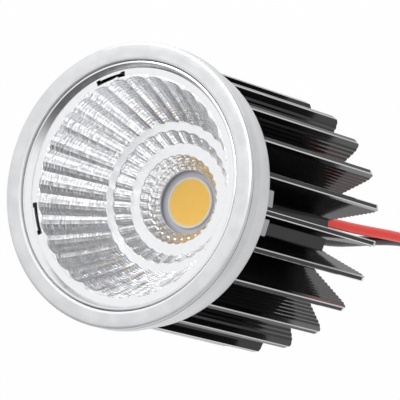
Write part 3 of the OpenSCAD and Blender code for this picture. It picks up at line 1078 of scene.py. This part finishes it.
@dataclass
class Reflector:
    """Three fluted tiers between flat ledges, with a flange and a rim bead on top."""

    flutes: int = 30
    across: int = 10
    flute_depth: float = 0.5
    flange_z: float = -1.5
    flange_t: float = 1.0
    rim_r: float = 21.75
    bead_w: float = 1.0
    bead_h: float = 1.2
    slot_r: tuple[float, float, float] = (19.5, 20.15, 20.4)
    tier1: tuple[float, float] = (19.0, 13.05)
    tier2: tuple[float, float] = (11.4, 9.7)
    tier3: tuple[float, float] = (7.6, 5.7)
    ledge1_z: float = -14.0
    ledge2_z: float = -16.7
    foot_z: float = -20.3
    wall: float = 0.9
    tier1_rows: int = 18
    slot_starts: tuple[int, ...] = (45, 82)
    slot_span: int = 7
    slot_grid: int = 5
    row_reach: float = 0.004

    def rows(self) -> list[ShellRow]:
        """Lists the shell's rows, first the side that faces the light and then the plain back.

        Returns:
            Radius, height, hollow of the flutes and their shift in half flutes, per row.
        """
        depth = self.flute_depth
        bead_foot = self.rim_r - self.bead_w
        top = self.flange_z + self.bead_h
        table = [
            (self.rim_r, top - 0.25, 0.0, 0.0), (self.rim_r - 0.07, top - 0.07, 0.0, 0.0),
            (self.rim_r - 0.25, top, 0.0, 0.0), (self.rim_r - 0.4, top, 0.0, 0.0),
            (self.rim_r - 0.5, top - 0.08, 0.0, 0.0), (bead_foot, self.flange_z + 0.06, 0.0, 0.0),
            (bead_foot - 0.06, self.flange_z, 0.0, 0.0),
            (self.slot_r[2], self.flange_z, 0.0, 0.0), (self.slot_r[1], self.flange_z, 0.0, 0.0),
            (self.slot_r[0], self.flange_z, 0.0, 0.0),
        ]
        fall = self.ledge1_z - self.flange_z
        span = self.tier1[0] - self.tier1[1]
        for step in range(self.tier1_rows + 1):
            share = step / self.tier1_rows
            inward = share * (0.86 + 0.14 * share)
            radius = self.tier1[0] - span * inward - (depth / 2) * (1 - share)
            hollow = depth * (1 - 0.4 * share ** 2)
            table.append((radius, self.flange_z - 0.05 + (fall + 0.05) * share, hollow, 0.0))
        table += [
            (self.tier2[0] + 0.14, self.ledge1_z, depth * 0.6, 0.0),
            (self.tier2[0] + 0.05, self.ledge1_z - 0.05, depth * 0.6, 0.0),
            (self.tier2[0], self.ledge1_z - 0.15, depth * 0.6, 0.0),
            (self.tier2[0] - 0.35, self.ledge1_z - 0.55, depth * 0.6, 0.0),
            (self.tier2[0] - 0.8, self.ledge1_z - 1.25, depth * 0.56, 0.0),
            (self.tier2[0] - 1.25, self.ledge1_z - 1.95, depth * 0.53, 0.0),
            (self.tier2[1], self.ledge2_z, depth * 0.5, 0.0),
            (self.tier3[0] + 0.14, self.ledge2_z, depth * 0.5, 0.0),
            (self.tier3[0] + 0.05, self.ledge2_z - 0.05, depth * 0.5, 0.0),
            (self.tier3[0], self.ledge2_z - 0.15, depth * 0.5, 0.0),
            (self.tier3[0] - 0.42, self.ledge2_z - 0.78, depth * 0.5, 0.0),
            (self.tier3[0] - 0.88, self.ledge2_z - 1.55, depth * 0.45, 0.0),
            (self.tier3[0] - 0.92, self.ledge2_z - 1.6, depth * 0.45, 1.0),
            (self.tier3[0] - 1.4, self.ledge2_z - 2.35, depth * 0.4, 1.0),
            (self.tier3[1] + 0.08, self.foot_z + 0.5, depth * 0.15, 1.0),
            (self.tier3[1], self.foot_z + 0.4, 0.0, 0.0), (self.tier3[1], self.foot_z, 0.0, 0.0),
            (self.tier3[1] + self.wall, self.foot_z, 0.0, 0.0),
            (self.tier3[0] + self.wall, self.ledge2_z - self.wall, 0.0, 0.0),
            (self.tier2[1] + self.wall, self.ledge2_z - self.wall, 0.0, 0.0),
            (self.tier2[0] + self.wall, self.ledge1_z - self.wall, 0.0, 0.0),
            (self.tier1[1] + self.wall, self.ledge1_z - self.wall, 0.0, 0.0),
            (self.tier1[1] + self.wall + span * 0.35, self.ledge1_z - self.wall - fall * 0.36,
             0.0, 0.0),
            (self.slot_r[0], self.flange_z - self.flange_t, 0.0, 0.0),
            (self.slot_r[1], self.flange_z - self.flange_t, 0.0, 0.0),
            (self.slot_r[2], self.flange_z - self.flange_t, 0.0, 0.0),
            (self.rim_r, self.flange_z - self.flange_t, 0.0, 0.0),
        ]
        return table

    def hollow(self, column: int, shift: float) -> float:
        """Gives the share of a flute's hollow: 0 on a crest and 1 in the middle."""
        place_in = ((column + shift * self.across / 2) % self.across) / self.across
        return 4 * place_in * (1 - place_in)

    def swell(self, piece: bpy.types.Object, radius: float, depth: float, shift: float) -> None:
        """Pushes the fresh row's vertices out into the flutes' hollows, one share at a time.

        Args:
            piece: The reflector, open in edit mode with its fresh row selected.
            radius: The row's crest radius in millimetres.
            depth: The hollow's depth in millimetres.
            shift: The flutes' shift in half flutes.
        """
        mesh = bmesh.from_edit_mesh(piece.data)
        fresh = [vert for vert in mesh.verts if vert.select]
        columns = self.flutes * self.across
        groups: dict[float, list[bmesh.types.BMVert]] = {}
        for vert in fresh:
            column = round(math.atan2(vert.co.y, vert.co.x) / math.tau * columns) % columns
            groups.setdefault(round(self.hollow(column, shift), 4), []).append(vert)
        for share, verts in groups.items():
            if share == 0:
                continue
            for vert in fresh:
                vert.select = False
            for vert in verts:
                vert.select = True
            mesh.select_flush_mode()
            factor = (radius + depth * share) / radius
            bpy.ops.transform.resize(value=(factor, factor, 1), center_override=ORIGIN)
        for vert in fresh:
            vert.select = True
        mesh.select_flush_mode()

    def shell(self) -> bpy.types.Object:
        """Extrudes the shell row by row from its rim and back to it.

        Returns:
            The shell, whose first and last row still lie on each other.
        """
        columns = self.flutes * self.across
        table = self.rows()
        deselect_all()
        bpy.ops.mesh.primitive_circle_add(vertices=columns, radius=table[0][0] * MM,
                                          location=(0, 0, table[0][1] * MM))
        piece = bpy.context.active_object
        turn_about_axis(math.pi / 2)
        freeze()
        enter_edit(piece)
        bpy.ops.mesh.select_mode(type="VERT")
        bpy.ops.mesh.select_all(action="SELECT")
        last = table[0]
        for row in table[1:] + table[:1]:
            bpy.ops.mesh.extrude_region_move(
                TRANSFORM_OT_translate={"value": (0, 0, (row[1] - last[1]) * MM)})
            factor = row[0] / last[0]
            bpy.ops.transform.resize(value=(factor, factor, 1), center_override=ORIGIN)
            last = row
        leave_edit()
        return piece

    def build(self) -> None:
        """Builds the reflector."""
        piece = self.shell()
        enter_edit(piece)
        for row in self.rows():
            if row[2] > 0:
                self.select_row(piece, row)
                self.swell(piece, row[0], row[2], row[3])
        bpy.ops.mesh.select_all(action="SELECT")
        bpy.ops.mesh.remove_doubles(threshold=WELD)
        for start in self.slot_starts:
            self.open_slot(piece, start)
        face_outwards()
        leave_edit()
        piece.name = "reflector_fluted"
        settle(piece, 28)
        place(piece, "reflector", Finish.REFLECTOR.material(), "reflector")

    def select_row(self, piece: bpy.types.Object, row: ShellRow) -> None:
        """Selects the vertices of one row, before it is swelled, by its radius and height.

        Args:
            piece: The reflector, open in edit mode.
            row: The row.
        """
        reach = self.row_reach * MM
        select_verts(piece, lambda spot: abs(spot.z - row[1] * MM) < reach
                     and abs(math.hypot(spot.x, spot.y) - row[0] * MM) < reach)

    def open_slot(self, piece: bpy.types.Object, start: int) -> None:
        """Cuts one U-shaped slot through the flange and walls it.

        Args:
            piece: The reflector, open in edit mode.
            start: The slot's first column on the slots' grid.
        """
        columns = self.flutes * self.slot_grid
        front, back = self.flange_z, self.flange_z - self.flange_t
        inner, tongue, outer = self.slot_r

        def in_slot(face: bmesh.types.BMFace) -> bool:
            """Says whether a flange face lies in the slot's base or in one of its two arms.

            Args:
                face: The face.

            Returns:
                Whether it is cut away.
            """
            spot = face.calc_center_median()
            radius = math.hypot(spot.x, spot.y) / MM
            flat = any(abs(spot.z / MM - side) < 0.01 for side in (front, back))
            at = (math.atan2(spot.y, spot.x) / math.tau * columns - start) % columns
            if not flat or not inner < radius < outer or at >= self.slot_span:
                return False
            return radius < tongue or at < 1 or at > self.slot_span - 1

        select_faces(piece, in_slot)
        bpy.ops.mesh.delete(type="FACE")
        bpy.ops.mesh.select_mode(type="EDGE")
        bpy.ops.mesh.select_all(action="DESELECT")
        bpy.ops.mesh.select_non_manifold(
            extend=False, use_wire=False, use_boundary=True, use_multi_face=False,
            use_non_contiguous=False, use_verts=False)
        bpy.ops.mesh.bridge_edge_loops()


# ----- carried solids


@dataclass
class CarriedSolids:
    """Solids whose own shape is right and which only get their finish."""

    finishes: dict[str, Finish] = field(default_factory=lambda: {
        "heat_sink": Finish.SINK, "thermal_pad": Finish.PAD, "chip_board": Finish.BOARD,
        "phosphor_dam": Finish.DAM, "phosphor_disc": Finish.PHOSPHOR,
        "contact_plus": Finish.GOLD, "contact_minus": Finish.GOLD,
        "solder_plus": Finish.SOLDER, "solder_minus": Finish.SOLDER,
        "board_screw_left": Finish.STEEL, "board_screw_right": Finish.STEEL,
        "lead_bush": Finish.BUSH, "red_lead_inner": Finish.RED, "black_lead_inner": Finish.BLACK,
        "red_tail": Finish.TINNED, "black_tail": Finish.TINNED})

    def dress(self) -> None:
        """Gives each solid its finish."""
        for name, finish in self.finishes.items():
            solid = frame["nodes"][name]
            solid.data.materials.clear()
            solid.data.materials.append(finish.material())
            log.info("%s: carried over as %s", name, finish.name.lower())


def write_sizes() -> None:
    """Defines a helper that gives a box as plain lists; writes and compares nothing."""
    def plain(box: tuple[Vector, Vector]) -> list[list[float]]:
        """Returns a box as plain lists."""
        return [[float(part) for part in corner] for corner in box]


def main() -> None:
    """Builds the whole scene: camera and leads first, then the module from front to rear."""
    studio = Studio()
    studio.camera()
    LeadPair().build()
    FrontRing().build()
    Reflector().build()
    CarriedSolids().dress()
    studio.floor(CAD_BOX[0][2])
    studio.world()
    studio.lamps()
    write_sizes()
    log.info("scene ready")


if __name__ == "__main__":
    main()
